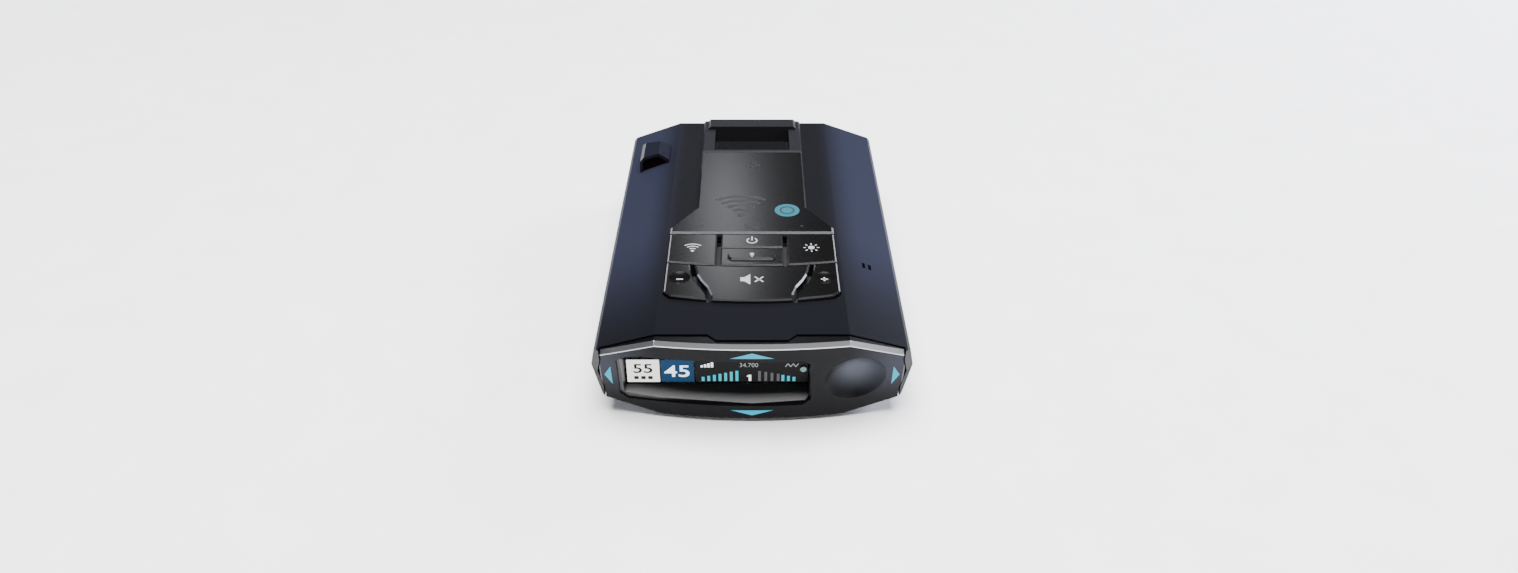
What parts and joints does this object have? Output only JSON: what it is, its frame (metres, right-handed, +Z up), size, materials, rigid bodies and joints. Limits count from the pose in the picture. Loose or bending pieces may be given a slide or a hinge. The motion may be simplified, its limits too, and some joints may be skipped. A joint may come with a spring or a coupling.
{
  "type": "radar detector",
  "caption": "Windscreen radar detector with a recessed display and direction arrows in a wedge-sided casing, a sprung keypad and a magnetic mount pocket on top.",
  "frame": {"origin": "middle of the footprint, on the surface the rubber feet stand on", "axes": "+X to the driver's right, +Y to the road (the display faces -Y), +Z up"},
  "size_m": [0.09, 0.1358, 0.0345],
  "materials": {
    "casing": "satin, fine grain",
    "casing_base": "satin, fine grain",
    "bezel": "satin",
    "trim": "satin plated",
    "gloss_black": "gloss",
    "lens": "gloss",
    "screen": "lit display",
    "light_pipe": "translucent, gloss",
    "led": "gloss",
    "console": "satin metallic paint",
    "keycap": "satin metallic paint",
    "mount_frame": "satin metallic paint",
    "silicone": "matt",
    "inner_plastic": "matt",
    "circuit_board": "solder mask",
    "steel": "brushed",
    "magnet": "nickel plated",
    "infrared_window": "gloss, dark red",
    "chip": "matt",
    "antenna_metal": "die cast, satin",
    "capacitor": "satin",
    "ceramic": "matt",
    "paper_cone": "matt",
    "ribbon": "satin",
    "socket_plastic": "matt",
    "screw_steel": "satin",
    "rubber": "matt",
    "label": "matt foil"
  },
  "bodies": {
    "casing": {"top_shell": "casing", "bottom_shell": "casing_base", "face_bezel": "bezel", "bezel_trim": "trim", "display_shroud": "gloss_black", "display_lens": "lens", "oled_panel": "screen", "display_board": "circuit_board", "arrow_up": "light_pipe", "arrow_down": "light_pipe", "arrow_left": "light_pipe", "arrow_right": "light_pipe", "arrow_leds": "led", "console_panel": "console", "dome_power": "silicone", "dome_mark": "silicone", "dome_sensitivity": "silicone", "dome_brightness": "silicone", "dome_mute": "silicone", "dome_volume_down": "silicone", "dome_volume_up": "silicone", "key_guide": "inner_plastic", "keypad_board": "circuit_board", "mount_frame": "mount_frame", "mount_pocket": "gloss_black", "strike_plate": "steel", "mount_magnets": "magnet", "laser_hood": "casing", "rear_laser_lens": "infrared_window", "rear_laser_sensor": "chip", "light_sensor": "chip", "main_board": "circuit_board", "front_horn": "antenna_metal", "rear_horn": "antenna_metal", "rf_shield": "steel", "board_chips": "chip", "wireless_module": "steel", "backup_capacitor": "capacitor", "gps_board": "circuit_board", "gps_patch": "ceramic", "speaker_frame": "inner_plastic", "speaker_cone": "paper_cone", "speaker_magnet": "magnet", "display_ribbon": "ribbon", "power_jack": "socket_plastic", "usb_port": "steel", "earphone_jack": "socket_plastic", "front_radome": "gloss_black", "front_laser_lens": "infrared_window", "front_laser_sensor": "chip", "case_screws": "screw_steel", "rubber_feet": "rubber", "rating_label": "label"},
    "key_power": {"key_power": "keycap"},
    "key_mark": {"key_mark": "keycap"},
    "key_sensitivity": {"key_sensitivity": "keycap"},
    "key_brightness": {"key_brightness": "keycap"},
    "key_mute": {"key_mute": "keycap"},
    "key_volume_down": {"key_volume_down": "keycap"},
    "key_volume_up": {"key_volume_up": "keycap"}
  },
  "joints": [
    {"name": "press_power", "type": "slide", "parent": "casing", "child": "key_power", "axis": [0, 0, -1], "range_m": [0, 0.0005], "stiffness_N_per_m": 800, "springref_m": -0.0005, "deforming": ["dome_power"]},
    {"name": "press_mark", "type": "slide", "parent": "casing", "child": "key_mark", "axis": [0, 0, -1], "range_m": [0, 0.0005], "stiffness_N_per_m": 800, "springref_m": -0.0005, "deforming": ["dome_mark"]},
    {"name": "press_sensitivity", "type": "slide", "parent": "casing", "child": "key_sensitivity", "axis": [0, 0, -1], "range_m": [0, 0.0005], "stiffness_N_per_m": 800, "springref_m": -0.0005, "deforming": ["dome_sensitivity"]},
    {"name": "press_brightness", "type": "slide", "parent": "casing", "child": "key_brightness", "axis": [0, 0, -1], "range_m": [0, 0.0005], "stiffness_N_per_m": 800, "springref_m": -0.0005, "deforming": ["dome_brightness"]},
    {"name": "press_mute", "type": "slide", "parent": "casing", "child": "key_mute", "axis": [0, 0, -1], "range_m": [0, 0.0005], "stiffness_N_per_m": 800, "springref_m": -0.0005, "deforming": ["dome_mute"]},
    {"name": "press_volume_down", "type": "slide", "parent": "casing", "child": "key_volume_down", "axis": [0, 0, -1], "range_m": [0, 0.0005], "stiffness_N_per_m": 800, "springref_m": -0.0005, "deforming": ["dome_volume_down"]},
    {"name": "press_volume_up", "type": "slide", "parent": "casing", "child": "key_volume_up", "axis": [0, 0, -1], "range_m": [0, 0.0005], "stiffness_N_per_m": 800, "springref_m": -0.0005, "deforming": ["dome_volume_up"]}
  ]
}
